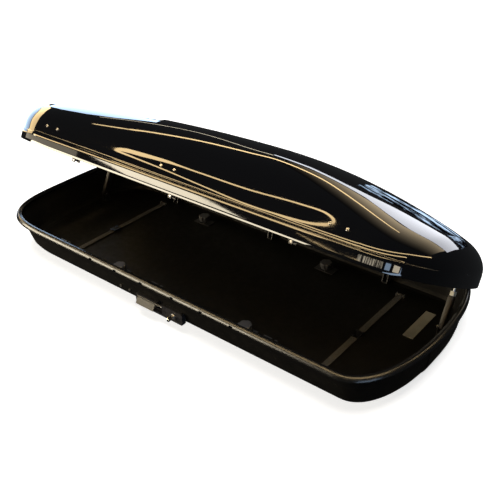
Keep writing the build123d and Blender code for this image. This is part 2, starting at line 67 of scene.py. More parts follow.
# Lid, drawn closed and then turned open about its hinge
HINGE_Y, HINGE_Z = 0.358, 0.078
LID_OPEN = radians(29.75)
WALL = 0.004
SKIRT_OUT, SKIRT_BOTTOM, SKIRT_TOP = 0.010, 0.123, 0.170
SKIRT_MIDDLE, SKIRT_STEP, SKIRT_STEPS = 0.145, 0.0099, 5
LIP_ROUND, SHOULDER_ROUND, SHOULDER_STEPS, LEDGE_RISE = 0.0010, 0.0038, 5, 0.0006
ARCH_OUT, ARCH_BASE = 0.004, 0.172
NOSE_POWER, TAIL_POWER = 1.90, 2.69
CROWN, CROWN_X = 0.403, 0.200
NOSE_FALL, TAIL_FALL = 0.212, 0.0585
NOSE_ROUND, TAIL_ROUND = 0.085, 0.038

# Meshes of lid and rim: share and steps of the arch's foot, steps of its rest and of its inside. Then the
# spacing along the lid, along the rim, and at the ends of both.
FOOT_SHARE, FOOT_STEPS, ARCH_STEPS, INSIDE_STEPS = 0.36, 44, 26, 24
LID_SPACING, RIM_SPACING, END_SPACING = 0.014, 0.012, 0.008

# Rounded rim of the tub. Its profile, out from the outline and up, starts below, climbs a face that leans
# in more with each step, turns over a round top and comes back down inside.
RIM_Z = 0.138
RIM_UNDER = [(-0.013, -0.013), (-0.006, -0.0115), (-0.0015, -0.0085), (0.0, -0.0055)]
RIM_INSIDE = [(-0.024, 0.0075), (-0.026, 0.004), (-0.026, -0.004), (-0.024, -0.0085)]
FACE_STEP, FACE_STEPS, FACE_LEAN, FACE_TURN = 0.0012, 15, 14, 2
TOP_RADIUS, TOP_STEPS, TOP_START, TOP_SWEEP = 0.006, 10, 42, 130

# Slots under the rim's near side: places, half their length, height of their top, depth, and mesh edges
SLOT_X = (-0.354, -0.206, -0.056, 0.112, 0.259, 0.404)
SLOT_HALF, SLOT_TOP, SLOT_DEPTH = 0.0072, 0.0015, 0.008
SLOT_EDGES = (0.003, 0.0065, 0.0075, 0.0085)

# Lifters: their pivots as (y, z) and their lean at rest. The moulded cover round each tube: its half sizes,
# how square its corners are, and its rings as (along the tube, share of full size).
LIFTER_X = {"front": 0.945, "rear": -0.915}
LIFTER_FOOT, LIFTER_TOP = (0.140, 0.048), (0.266, 0.264)
LIFTER_LEAN = atan2(LIFTER_TOP[1] - LIFTER_FOOT[1], LIFTER_TOP[0] - LIFTER_FOOT[0])
COVER_HALF, COVER_CORNER, COVER_SIDES = (0.0115, 0.0170), 0.55, 32
COVER_RINGS = [(-0.007, 0.30), (-0.006, 0.50), (-0.002, 0.68), (0.006, 0.80), (0.014, 0.90), (0.026, 1.0),
               (0.117, 1.0), (0.122, 0.97), (0.1238, 0.88)]

# Camera, aimed near the centre of the rim
CAMERA_AZIMUTH, CAMERA_ELEVATION, CAMERA_ROLL = 40.48, 31.27, -2.11
CAMERA_DISTANCE, CAMERA_ASIDE, CAMERA_UP = 3.0407, 0.1214, -0.0259
LENS = 52.22

# Studio: floor and dome, softboxes, and lamps that show only in reflections
FLOOR_Z, FLOOR_REACH = cad_box[0][2], 40.0
SKY_RADIUS = 0.95 * FLOOR_REACH
PANEL_DISTANCE, PANEL_Z = 7.0, 0.3
LAMP_DISTANCE, LINE_DISTANCE = 6.0, 5.8
LAMP_STEPS, LAMP_ROWS, CURVE_STEPS = 72, 14, 14
SUN_ENERGY, SUN_ANGLE, SUN_TILT, SUN_COLOUR = 2.2, 34, 4, (1.0, 0.985, 0.96)
WORLD_COLOUR, WORLD_STRENGTH = (0.9, 0.95, 1.0), 0.026
GOLD, CREAM, WHITE, BLUE = (1.0, 0.72, 0.36), (1.0, 0.88, 0.66), (1.0, 0.99, 0.97), (0.55, 0.74, 1.0)

# Lines that the lid mirrors: place along the lid, and share of the arch from its near foot
SHOULDER = [(-0.50, 0.295), (-0.36, 0.342), (-0.21, 0.406), (0.01, 0.486), (0.23, 0.540), (0.35, 0.580),
            (0.53, 0.574), (0.67, 0.520), (0.81, 0.450), (0.89, 0.410)]
LEAF = [(-0.30, 0.080), (-0.25, 0.108), (-0.17, 0.119), (-0.04, 0.135), (0.04, 0.137), (0.14, 0.138),
        (0.36, 0.150), (0.56, 0.205), (0.65, 0.228), (0.695, 0.200), (0.700, 0.150), (0.67, 0.095),
        (0.59, 0.049), (0.39, 0.022), (0.16, 0.039), (-0.02, 0.057), (-0.19, 0.068)]
LEAF_WIDTHS = (0.009, 0.015, 0.015, 0.010, 0.005, 0.005, 0.005, 0.006, 0.008, 0.011, 0.012, 0.008,
               0.005, 0.004, 0.004, 0.005, 0.008)
CREASE_LOW = [(-0.80, 0.006), (-0.4, 0.008), (0.0, 0.008), (0.4, 0.008), (0.7, 0.010), (0.88, 0.03),
              (0.95, 0.09)]
CREASE_HIGH = [(0.28, 0.026), (0.4, 0.026), (0.7, 0.034), (0.88, 0.075), (0.96, 0.17), (0.99, 0.25)]
CROWN_LINE = [(-0.52, 0.44), (-0.28, 0.56), (-0.05, 0.63), (0.20, 0.612), (0.30, 0.63)]

# A line that the skirt mirrors: place along the lid, and height when it is closed
SKIRT_ARC = [(0.60, 0.150), (0.70, 0.138), (0.78, 0.130), (0.84, 0.136)]


# ---------------------------------------------------------------- materials

def new_material(name):
    """A material, its shader, and the place of each point on its object in metres."""
    material = bpy.data.materials.new(name)
    material.use_nodes = True
    nodes = material.node_tree.nodes
    shader = next(n for n in nodes if n.type == "BSDF_PRINCIPLED")
    place = nodes.new("ShaderNodeTexCoord")
    return material, shader, place.outputs["Object"]


def link(material, source, target):
    """Joins an output of one node to an input of another."""
    material.node_tree.links.new(source, target)


def noise(material, place, scale, detail, roughness=0.5):
    """A noise texture over the surface, with its scale in features per metre."""
    node = material.node_tree.nodes.new("ShaderNodeTexNoise")
    node.inputs["Scale"].default_value = scale
    node.inputs["Detail"].default_value = detail
    node.inputs["Roughness"].default_value = roughness
    link(material, place, node.inputs["Vector"])
    return node.outputs["Fac"]


def spread(material, source, low, high, start=0.0, end=1.0):
    """Maps a value from start..end to low..high."""
    node = material.node_tree.nodes.new("ShaderNodeMapRange")
    node.inputs["From Min"].default_value = start
    node.inputs["From Max"].default_value = end
    node.inputs["To Min"].default_value = low
    node.inputs["To Max"].default_value = high
    link(material, source, node.inputs["Value"])
    return node.outputs["Result"]


def mix_colours(material, factor, first, second):
    """The first colour where the factor is 0, the second where it is 1."""
    node = material.node_tree.nodes.new("ShaderNodeMix")
    node.data_type = "RGBA"
    node.inputs["A"].default_value = (*first, 1)
    node.inputs["B"].default_value = (*second, 1)
    link(material, factor, node.inputs["Factor"])
    return node.outputs["Result"]


def multiply(material, first, second):
    """The product of two values."""
    node = material.node_tree.nodes.new("ShaderNodeMath")
    node.operation = "MULTIPLY"
    link(material, first, node.inputs[0])
    link(material, second, node.inputs[1])
    return node.outputs["Value"]


def bump(material, shader, height, strength, distance):
    """Small relief on the shader, with its full height in metres as distance."""
    node = material.node_tree.nodes.new("ShaderNodeBump")
    node.inputs["Strength"].default_value = strength
    node.inputs["Distance"].default_value = distance
    link(material, height, node.inputs["Height"])
    link(material, node.outputs["Normal"], shader.inputs["Normal"])


def plastic(name, dark, light, rough, grain, depth, metal=0.0, gloss=0.5):
    """Moulded or coated surface: mottled colour, uneven gloss and a fine grain."""
    material, shader, place = new_material(name)
    mottle = noise(material, place, 14.0, 6.0, 0.65)
    colour = mix_colours(material, spread(material, mottle, 0, 1, 0.3, 0.7), dark, light)
    link(material, colour, shader.inputs["Base Color"])
    smudges = noise(material, place, 38.0, 4.0, 0.6)
    link(material, spread(material, smudges, rough[0], rough[1], 0.3, 0.7), shader.inputs["Roughness"])
    bump(material, shader, noise(material, place, grain, 2.0, 0.6), 0.5, depth)
    shader.inputs["Metallic"].default_value = metal
    shader.inputs["Specular IOR Level"].default_value = gloss
    return material


def brushed(name, dark, light, rough, stretch):
    """Drawn or plated metal with fine lines across one axis."""
    material, shader, place = new_material(name)
    mapping = material.node_tree.nodes.new("ShaderNodeMapping")
    mapping.inputs["Scale"].default_value = stretch
    link(material, place, mapping.inputs["Vector"])
    lines = noise(material, mapping.outputs["Vector"], 60.0, 5.0, 0.7)
    colour = mix_colours(material, spread(material, lines, 0, 1, 0.3, 0.7), dark, light)
    link(material, colour, shader.inputs["Base Color"])
    link(material, spread(material, lines, rough[0], rough[1], 0.3, 0.7), shader.inputs["Roughness"])
    bump(material, shader, lines, 0.25, 0.0002)
    shader.inputs["Metallic"].default_value = 1.0
    return material


def webbing(name):
    """Woven strap: crossed threads, darker between them."""
    material, shader, place = new_material(name)
    waves = []
    for axis, scale in (("X", 320.0), ("Y", 190.0)):
        wave = material.node_tree.nodes.new("ShaderNodeTexWave")
        wave.bands_direction = axis
        wave.inputs["Scale"].default_value = scale
        wave.inputs["Distortion"].default_value = 0.6
        wave.inputs["Detail Scale"].default_value = 4.0
        link(material, place, wave.inputs["Vector"])
        waves.append(wave.outputs["Fac"])
    weave = multiply(material, *waves)
    colour = mix_colours(material, weave, (0.008, 0.008, 0.008), (0.035, 0.033, 0.030))
    link(material, colour, shader.inputs["Base Color"])
    fuzz = noise(material, place, 900.0, 2.0)
    link(material, spread(material, fuzz, 0.65, 0.95), shader.inputs["Roughness"])
    bump(material, shader, weave, 0.8, 0.0004)
    shader.inputs["Sheen Weight"].default_value = 0.25
    return material


def lid_gloss(name):
    """Piano black lid: deep colour, slight ripple of the moulded sheet, specks of dust."""
    material, shader, place = new_material(name)
    dust = spread(material, noise(material, place, 420.0, 2.0, 0.7), 0, 1, 0.70, 0.76)
    colour = mix_colours(material, dust, (0.0035, 0.0035, 0.0042), (0.020, 0.019, 0.018))
    link(material, colour, shader.inputs["Base Color"])
    haze = noise(material, place, 9.0, 5.0, 0.6)
    link(material, spread(material, haze, 0.015, 0.045, 0.3, 0.7), shader.inputs["Roughness"])
    bump(material, shader, noise(material, place, 26.0, 1.0, 0.4), 0.05, 0.0005)
    shader.inputs["Coat Weight"].default_value = 0.3
    shader.inputs["Coat Roughness"].default_value = 0.02
    return material


def floor_material():
    """Pale floor that glows a little, so its shadow stays light. It can't be seen from below."""
    material, shader, place = new_material("studio_floor")
    tone = noise(material, place, 1.5, 2.0)
    colour = mix_colours(material, tone, (0.90, 0.90, 0.90), (0.92, 0.92, 0.915))
    link(material, colour, shader.inputs["Base Color"])
    shader.inputs["Roughness"].default_value = 0.9
    shader.inputs["Specular IOR Level"].default_value = 0.0
    shader.inputs["Emission Color"].default_value = (1, 1, 1, 1)
    shader.inputs["Emission Strength"].default_value = 0.74
    nodes = material.node_tree.nodes
    below = nodes.new("ShaderNodeNewGeometry")
    clear = nodes.new("ShaderNodeBsdfTransparent")
    either = nodes.new("ShaderNodeMixShader")
    link(material, below.outputs["Backfacing"], either.inputs["Fac"])
    link(material, shader.outputs["BSDF"], either.inputs[1])
    link(material, clear.outputs["BSDF"], either.inputs[2])
    output = next(n for n in nodes if n.type == "OUTPUT_MATERIAL")
    link(material, either.outputs["Shader"], output.inputs["Surface"])
    return material


def emitter(name, colour):
    """A material that only gives off light, and the input that sets how much."""
    material = bpy.data.materials.new(name)
    material.use_nodes = True
    nodes = material.node_tree.nodes
    nodes.clear()
    output = nodes.new("ShaderNodeOutputMaterial")
    emission = nodes.new("ShaderNodeEmission")
    emission.inputs["Color"].default_value = (*colour, 1)
    link(material, emission.outputs["Emission"], output.inputs["Surface"])
    return material, emission.inputs["Strength"]


def sky_material():
    """Plain white above the floor's edge, for views that look past it."""
    material, strength = emitter("sky_white", (1, 1, 1))
    strength.default_value = 1.0
    return material


def glow_material(name, colour, brightness, clouds):
    """A lamp's face: one colour, faded by its mesh and broken up by clouds where asked."""
    material, strength = emitter(name, colour)
    nodes = material.node_tree.nodes
    fade = nodes.new("ShaderNodeAttribute")
    fade.attribute_name = "fade"
    light = spread(material, fade.outputs["Fac"], 0, brightness)
    if clouds:
        place = nodes.new("ShaderNodeTexCoord").outputs["Object"]
        patches = noise(material, place, clouds, 5.0, 0.7)
        light = multiply(material, light, spread(material, patches, 0, 1, 0.47, 0.60))
    link(material, light, strength)
    return material


FINISHES = {
    "tub_black": plastic("tub_black", (0.0025, 0.0025, 0.0025), (0.006, 0.0055, 0.005), (0.48, 0.62), 700.0,
                         0.0006, gloss=0.14),
    "rim_black": plastic("rim_black", (0.006, 0.006, 0.006), (0.010, 0.0095, 0.009), (0.20, 0.27), 500.0,
                         0.00005),
    "lid_black": lid_gloss("lid_black"),
    "steel": brushed("steel", (0.42, 0.42, 0.43), (0.62, 0.62, 0.63), (0.22, 0.42), (1, 12, 12)),
    "black_steel": plastic("black_steel", (0.02, 0.02, 0.022), (0.04, 0.04, 0.043), (0.35, 0.5), 600.0,
                           0.0003),
    "aluminium": plastic("aluminium", (0.66, 0.60, 0.46), (0.84, 0.78, 0.62), (0.35, 0.5), 60.0, 0.0002,
                         metal=0.25),
    "lifter_grey": plastic("lifter_grey", (0.026, 0.022, 0.018), (0.040, 0.035, 0.029), (0.36, 0.50), 500.0,
                           0.0002, gloss=0.3),
    "cream": plastic("cream", (0.72, 0.66, 0.52), (0.84, 0.79, 0.66), (0.4, 0.55), 500.0, 0.0002),
    "dark_plastic": plastic("dark_plastic", (0.02, 0.019, 0.021), (0.038, 0.036, 0.039), (0.22, 0.36), 700.0,
                            0.0002),
    "flap_grey": plastic("flap_grey", (0.05, 0.047, 0.042), (0.08, 0.075, 0.066), (0.42, 0.55), 700.0, 0.0002,
                         gloss=0.3),
    "key_metal": brushed("key_metal", (0.55, 0.50, 0.42), (0.75, 0.70, 0.60), (0.12, 0.25), (4, 1, 4)),
    "rubber": plastic("rubber", (0.015, 0.015, 0.015), (0.03, 0.03, 0.029), (0.75, 0.9), 400.0, 0.0004),
    "webbing": webbing("webbing"),
    "knob_grey": plastic("knob_grey", (0.05, 0.05, 0.053), (0.085, 0.085, 0.09), (0.4, 0.55), 500.0, 0.0004),
}


def dress_nodes():
    """Gives every CAD node the finish of its slot in the record."""
    for part in frame["record"]["subparts"]:
        node = frame["nodes"][part["node"]]
        node.data.materials.clear()
        node.data.materials.append(FINISHES[part["material_slot"]])


# ---------------------------------------------------------------- shapes

def half_width(x, out, end_out):
    """Half the outline's width at x, with its sides and its ends moved out."""
    front_x, rear_x = HALF_LENGTH - FRONT_END, REAR_END - HALF_LENGTH
    share, power = 0.0, FRONT_POWER
    if x > front_x:
        share, power = (x - front_x) / (FRONT_END + end_out), FRONT_POWER
    elif x < rear_x:
        share, power = (rear_x - x) / (REAR_END + end_out), REAR_POWER
    return (HALF_WIDTH + out) * max(1 - share ** power, 0) ** (1 / power)


def crown_height(x):
    """Height of the lid's centre line at x."""
    fall = NOSE_FALL if x > CROWN_X else TAIL_FALL
    height = CROWN - fall * (x - CROWN_X) ** 2
    radius = NOSE_ROUND if x > 0 else TAIL_ROUND
    into = min(abs(x) - (HALF_LENGTH + SKIRT_OUT - radius), radius)
    if into > 0:
        height -= radius - sqrt(radius ** 2 - into ** 2)
    return height


def arch_power(x):
    """How square the lid's arch is at x, from tail to nose."""
    share = (x + HALF_LENGTH) / (2 * HALF_LENGTH)
    return TAIL_POWER + (NOSE_POWER - TAIL_POWER) * share


def stations(tip, extra, spacing):
    """Places along X from tail to nose, even along the outline, closer at its ends, with the extra ones."""
    samples, clearance = 4000, 0.001
    dense = [tip * sin(pi / 2 * (2 * i / samples - 1)) for i in range(samples + 1)]
    widths = [half_width(x, 0, tip - HALF_LENGTH) for x in dense]
    places, travelled = [dense[0]], 0.0
    for i in range(1, len(dense)):
        travelled += np.hypot(dense[i] - dense[i - 1], widths[i] - widths[i - 1])
        at_end = widths[i] < 0.98 * HALF_WIDTH
        if travelled >= (END_SPACING if at_end else spacing):
            places.append(dense[i])
            travelled = 0.0
    places = places[:-1] + [tip]
    places = [x for x in places if all(abs(x - e) > clearance for e in extra)]
    return sorted(places + list(extra))


def opened(point):
    """A point of the closed lid, turned open about the hinge."""
    x, y, z = point
    dy, dz = y - HINGE_Y, z - HINGE_Z
    c, s = cos(LID_OPEN), sin(LID_OPEN)
    return (x, HINGE_Y + dy * c + dz * s, HINGE_Z - dy * s + dz * c)


def arch_point(width, rise, power, share):
    """Distance from the centre plane and height of an arch at a share of its climb, 1 at the crown."""
    angle = pi / 2 * share
    return width * max(cos(angle), 0) ** (2 / power), ARCH_BASE + rise * sin(angle) ** (2 / power)


def across(x, half):
    """The whole cross-section at x, near lip to far lip, from the half that ends at the crown."""
    return [(x, -y, z) for y, z in half] + [(x, y, z) for y, z in reversed(half[:-1])]


def lid_outside(x, shares):
    """The lid's outer cross-section at x: rounded lip, skirt, rounded shoulder, ledge and arch."""
    skirt = half_width(x, SKIRT_OUT, SKIRT_OUT)
    arch = half_width(x, ARCH_OUT, SKIRT_OUT)
    step = skirt - arch
    half = [(skirt - LIP_ROUND, SKIRT_BOTTOM), (skirt - 0.3 * LIP_ROUND, SKIRT_BOTTOM + 0.3 * LIP_ROUND)]
    half += [(skirt, SKIRT_BOTTOM + LIP_ROUND + SKIRT_STEP * i) for i in range(SKIRT_STEPS)]
    for i in range(1, SHOULDER_STEPS + 1):
        angle = pi / 2 * i / SHOULDER_STEPS
        in_by = min(SHOULDER_ROUND, step + 0.002) * (1 - cos(angle))
        half.append((skirt - in_by, SKIRT_TOP - SHOULDER_ROUND + SHOULDER_ROUND * sin(angle)))
    half.append((arch + 0.25 * step, SKIRT_TOP + LEDGE_RISE))
    half += [arch_point(arch, crown_height(x) - ARCH_BASE, arch_power(x), share) for share in shares]
    return across(x, half)


def lid_inside(x):
    """The lid's inner cross-section at x, a wall's thickness inside the outer one."""
    skirt = half_width(x, SKIRT_OUT - WALL, SKIRT_OUT - WALL)
    arch = half_width(x, ARCH_OUT - WALL, SKIRT_OUT - WALL)
    rise = crown_height(x) - WALL - ARCH_BASE
    half = [(skirt, SKIRT_BOTTOM), (skirt, SKIRT_MIDDLE), (skirt, SKIRT_TOP - WALL), (arch, ARCH_BASE)]
    half += [arch_point(arch, rise, arch_power(x), i / INSIDE_STEPS) for i in range(1, INSIDE_STEPS + 1)]
    return across(x, half)


def grid_faces(rows, columns, start=0, flip=False):
    """Faces of a grid of points that begins at start, turned over where asked."""
    faces = []
    for i in range(rows - 1):
        for j in range(columns - 1):
            a = start + i * columns + j
            face = (a, a + 1, a + columns + 1, a + columns)
            faces.append(face[::-1] if flip else face)
    return faces


def mesh_piece(name, points, faces, finish, body, *nodes):
    """A smooth mesh that rides on a body and stands for CAD nodes."""
    mesh = bpy.data.meshes.new(name)
    mesh.from_pydata(points, [], faces)
    work = bmesh.new()
    work.from_mesh(mesh)
    bmesh.ops.remove_doubles(work, verts=work.verts, dist=1e-6)
    bmesh.ops.dissolve_degenerate(work, edges=work.edges, dist=1e-7)
    bmesh.ops.recalc_face_normals(work, faces=work.faces)
    work.to_mesh(mesh)
    work.free()
    mesh.shade_smooth()
    piece = bpy.data.objects.new(name, mesh)
    bpy.context.scene.collection.objects.link(piece)
    mesh.materials.append(FINISHES[finish])
    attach(piece, body)
    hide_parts(*nodes)


def make_lid():
    """The lid's shell: a dense outside and a plain inside, joined along the lip."""
    tip = HALF_LENGTH + SKIRT_OUT
    places = stations(tip, [], LID_SPACING)
    shares = [FOOT_SHARE * i / FOOT_STEPS for i in range(FOOT_STEPS)]
    shares += [FOOT_SHARE + (1 - FOOT_SHARE) * i / ARCH_STEPS for i in range(ARCH_STEPS + 1)]
    outer = [lid_outside(x, shares) for x in places]
    inner = [lid_inside(x * (tip - WALL) / tip) for x in places]
    columns, inner_columns = len(outer[0]), len(inner[0])
    points = [opened(point) for row in outer + inner for point in row]
    faces = grid_faces(len(places), columns)
    start = len(places) * columns
    faces += grid_faces(len(places), inner_columns, start, True)
    for i in range(len(places) - 1):
        a, b = i * columns, (i + 1) * columns
        c, d = start + i * inner_columns, start + (i + 1) * inner_columns
        faces.append((a, b, d, c))
        faces.append((a + columns - 1, c + inner_columns - 1, d + inner_columns - 1, b + columns - 1))
    mesh_piece("lid_panel", points, faces, "lid_black", "lid", "lid_shell")


def rim_profile():
    """The rim's section as (out, up) points, from below round its outer face to its inside."""
    profile = list(RIM_UNDER)
    for i in range(FACE_STEPS):
        out, up = profile[-1]
        lean = radians(FACE_LEAN + FACE_TURN * i)
        profile.append((out - FACE_STEP * sin(lean), up + FACE_STEP * cos(lean)))
    out, up = profile[-1]
    start = radians(TOP_START)
    for i in range(1, TOP_STEPS + 1):
        angle = start + radians(TOP_SWEEP) * i / TOP_STEPS
        inwards, upwards = cos(start) - cos(angle), sin(angle) - sin(start)
        profile.append((out - TOP_RADIUS * inwards, up + TOP_RADIUS * upwards))
    return profile + RIM_INSIDE


def make_rim():
    """The rounded rim swept round the outline, with short slots under its near side."""
    slots = [x + side * edge for x in SLOT_X for side in (-1, 1) for edge in SLOT_EDGES]
    places = stations(HALF_LENGTH, slots, RIM_SPACING)
    near = [(x, -half_width(x, 0, 0)) for x in places]
    far = [(x, half_width(x, 0, 0)) for x in reversed(places[1:-1])]
    loop, profile = near + far, rim_profile()
    points, faces = [], []
    count, width = len(loop), len(profile)
    for i, (x, y) in enumerate(loop):
        before, after = loop[i - 1], loop[(i + 1) % count]
        along = Vector((after[0] - before[0], after[1] - before[1], 0)).normalized()
        outward = Vector((along.y, -along.x, 0))
        slotted = y < 0 and any(abs(x - slot) < SLOT_HALF for slot in SLOT_X)
        for out, up in profile:
            if slotted and up < SLOT_TOP:
                out = min(out, -SLOT_DEPTH)
            points.append(tuple(Vector((x, y, RIM_Z)) + outward * out + Vector((0, 0, up))))
    for i in range(count):
        for j in range(width):
            a, b = i * width + j, i * width + (j + 1) % width
            c, d = ((i + 1) % count) * width + (j + 1) % width, ((i + 1) % count) * width + j
            faces.append((a, b, c, d))
    mesh_piece("rim_bead", points, faces, "rim_black", "tub", "rim_trim")


def make_covers():
    """The lifters' moulded covers: a sleeve with soft corners and a round lower end."""
    rings, sides = len(COVER_RINGS), COVER_SIDES
    faces = []
    for i in range(rings - 1):
        for j in range(sides):
            a, b = i * sides + j, i * sides + (j + 1) % sides
            faces.append((a, b, b + sides, a + sides))
    last = (rings - 1) * sides
    faces += [tuple(range(sides)), tuple(range(last + sides - 1, last - 1, -1))]
    for name, x in LIFTER_X.items():
        points = []
        for along, size in COVER_RINGS:
            for i in range(sides):
                turn = 2 * pi * i / sides
                side, over = (copysign(half * size * abs(share) ** COVER_CORNER, share)
                              for half, share in zip(COVER_HALF, (cos(turn), sin(turn))))
                y = LIFTER_FOOT[0] + along * cos(LIFTER_LEAN) - over * sin(LIFTER_LEAN)
                z = LIFTER_FOOT[1] + along * sin(LIFTER_LEAN) + over * cos(LIFTER_LEAN)
                points.append((x + side, y, z))
        body = f"lifter_tube_{name}"
        mesh_piece(f"lifter_cover_{name}", points, faces, "lifter_grey", body, body)


# ---------------------------------------------------------------- studio

def towards(azimuth, elevation):
    """A direction: azimuth 0 is -Y and grows towards +X, both in degrees."""
    a, e = radians(azimuth), radians(elevation)
    return Vector((sin(a) * cos(e), -cos(a) * cos(e), sin(e)))


def panel(name, start, end, breadth, radiance, colour):
    """A softbox between two directions seen from the box, facing it."""
    first, last = towards(*start) * PANEL_DISTANCE, towards(*end) * PANEL_DISTANCE
    middle, along = (first + last) / 2, last - first
    light = bpy.data.lights.new(name, "AREA")
    light.shape = "RECTANGLE"
    light.size, light.size_y = along.length, breadth
    light.energy = radiance * along.length * breadth * pi
    light.color = colour
    holder = bpy.data.objects.new(name, light)
    x_axis = along.normalized()
    z_axis = (middle - x_axis * middle.dot(x_axis)).normalized()
    basis = Matrix((x_axis, z_axis.cross(x_axis), z_axis)).transposed().to_4x4()
    holder.matrix_world = Matrix.Translation(middle + Vector((0, 0, PANEL_Z))) @ basis
    bpy.context.scene.collection.objects.link(holder)


def on_arch(x, share):
    """A point of the opened lid's arch: share 0 at its near foot, 1 at the crown, 2 at its far foot."""
    width = half_width(x, ARCH_OUT, SKIRT_OUT)
    y, z = arch_point(width, crown_height(x) - ARCH_BASE, arch_power(x), min(share, 2 - share))
    return Vector(opened((x, -y if share <= 1 else y, z)))


def on_skirt(x, z):
    """A point of the opened lid's near skirt at a closed height."""
    return Vector(opened((x, -half_width(x, SKIRT_OUT, SKIRT_OUT), z)))


def mirrored(surface, x, across, distance):
    """The place, at a distance, that the camera sees mirrored at a point of a surface."""
    point, small = surface(x, across), 1e-4
    along = surface(x + small, across) - surface(x - small, across)
    over = surface(x, across + small) - surface(x, across - small)
    normal = along.cross(over).normalized()
    sight = (point - camera_axes()[0]).normalized()
    return point + (sight - 2 * sight.dot(normal) * normal) * distance


def part_way(line, way):
    """The point of a line at a share of its way, with its points taken as evenly spaced."""
    marks = np.linspace(0, 1, len(line))
    return [np.interp(way, marks, values) for values in zip(*line)]


def lamp(name, surface, first, second, colour, brightness, clouds=0.0, soft=0.0):
    """A lamp shaped so that a surface mirrors it between two lines drawn on it.

    A soft lamp grows from nothing over that share of its length, and from its first line to its second.
    """
    points, fades = [], []
    for i in range(LAMP_STEPS + 1):
        way = i / LAMP_STEPS
        start, end = part_way(first, way), part_way(second, way)
        for j in range(LAMP_ROWS + 1):
            x, across = (a + (b - a) * j / LAMP_ROWS for a, b in zip(start, end))
            points.append(mirrored(surface, x, across, LAMP_DISTANCE))
            fades.append(min(way / soft, 1) * (j / LAMP_ROWS) ** 1.5 if soft else 1.0)
    faces = grid_faces(LAMP_STEPS + 1, LAMP_ROWS + 1)
    hang_lamp(name, points, faces, fades, glow_material(name, colour, brightness, clouds))


def lamp_line(name, surface, line, widths, colour, brightness, closed=False):
    """A lamp that a surface mirrors as a line with the given widths."""
    dense = smooth(line, closed)
    wide = np.interp(np.linspace(0, 1, len(dense)), np.linspace(0, 1, len(widths)), widths)
    points, nudge = [], 0.01
    for i, (x, across) in enumerate(dense):
        before = dense[i - 1] if closed or i else dense[0]
        after = dense[(i + 1) % len(dense)] if closed or i + 1 < len(dense) else dense[-1]
        scale = (surface(x, across + nudge) - surface(x, across)).length / nudge
        dx, dv = after[0] - before[0], (after[1] - before[1]) * scale
        half = wide[i] / 2 / max(np.hypot(dx, dv), 1e-9)
        for side in (half, -half):
            points.append(mirrored(surface, x - side * dv, across + side * dx / scale, LINE_DISTANCE))
    count = len(dense)
    faces = [(2 * i, 2 * i + 1, (2 * i + 3) % (2 * count), (2 * i + 2) % (2 * count))
             for i in range(count if closed else count - 1)]
    hang_lamp(name, points, faces, [1.0] * len(points), glow_material(name, colour, brightness, 0.0))


def hang_lamp(name, points, faces, fades, finish):
    """Puts a lamp's face in the studio, seen only in reflections."""
    mesh = bpy.data.meshes.new(name)
    mesh.from_pydata(points, [], faces)
    mesh.materials.append(finish)
    mesh.attributes.new("fade", "FLOAT", "POINT").data.foreach_set("value", fades)
    holder = bpy.data.objects.new(name, mesh)
    bpy.context.scene.collection.objects.link(holder)
    holder.visible_camera = holder.visible_diffuse = holder.visible_shadow = False


def smooth(line, closed):
    """A Catmull-Rom curve through the points of a line."""
    points = [np.array(point, float) for point in line]
    count = len(points)
    dense = []
    for i in range(count if closed else count - 1):
        around = [(i + k) % count if closed else min(max(i + k, 0), count - 1) for k in (-1, 0, 1, 2)]
        a, b, c, d = (points[k] for k in around)
        for j in range(CURVE_STEPS):
            t = j / CURVE_STEPS
            curve = 2 * b + (c - a) * t + (2 * a - 5 * b + 4 * c - d) * t ** 2
            curve = curve + (3 * b - a - 3 * c + d) * t ** 3
            dense.append(tuple(0.5 * curve))
    if not closed:
        dense.append(tuple(points[-1]))
    return dense


def make_backdrop():
    """A wide floor and a white dome round it, which the box doesn't mirror and which don't light it."""
    floor = bpy.data.meshes.new("floor")
    corners = [(x * FLOOR_REACH, y * FLOOR_REACH, FLOOR_Z) for x, y in ((-1, -1), (1, -1), (1, 1), (-1, 1))]
    floor.from_pydata(corners, [], [(0, 1, 2, 3)])
    floor.materials.append(floor_material())
    ground = bpy.data.objects.new("floor", floor)
    bpy.context.scene.collection.objects.link(ground)
    ground.visible_diffuse = ground.visible_glossy = False

    sky = bpy.data.meshes.new("sky")
    shape = bmesh.new()
    bmesh.ops.create_icosphere(shape, subdivisions=3, radius=SKY_RADIUS)
    shape.to_mesh(sky)
    shape.free()
    sky.materials.append(sky_material())
    dome = bpy.data.objects.new("sky", sky)
    bpy.context.scene.collection.objects.link(dome)
    dome.visible_diffuse = dome.visible_glossy = dome.visible_shadow = dome.visible_transmission = False


def make_lights():
    """A wide soft sun that the gloss doesn't show, and two softboxes low at the sides."""
    sun = bpy.data.lights.new("overhead", "SUN")
    sun.energy, sun.angle, sun.color = SUN_ENERGY, radians(SUN_ANGLE), SUN_COLOUR
    overhead = bpy.data.objects.new("overhead", sun)
    overhead.visible_glossy = False
    overhead.rotation_euler = (radians(SUN_TILT), radians(SUN_TILT), 0)
    bpy.context.scene.collection.objects.link(overhead)
    panel("low_left", (-66, 5), (-24, 5), 1.6, 16.0, CREAM)
    panel("right_side", (46, -2), (80, -2), 0.8, 6.0, BLUE)


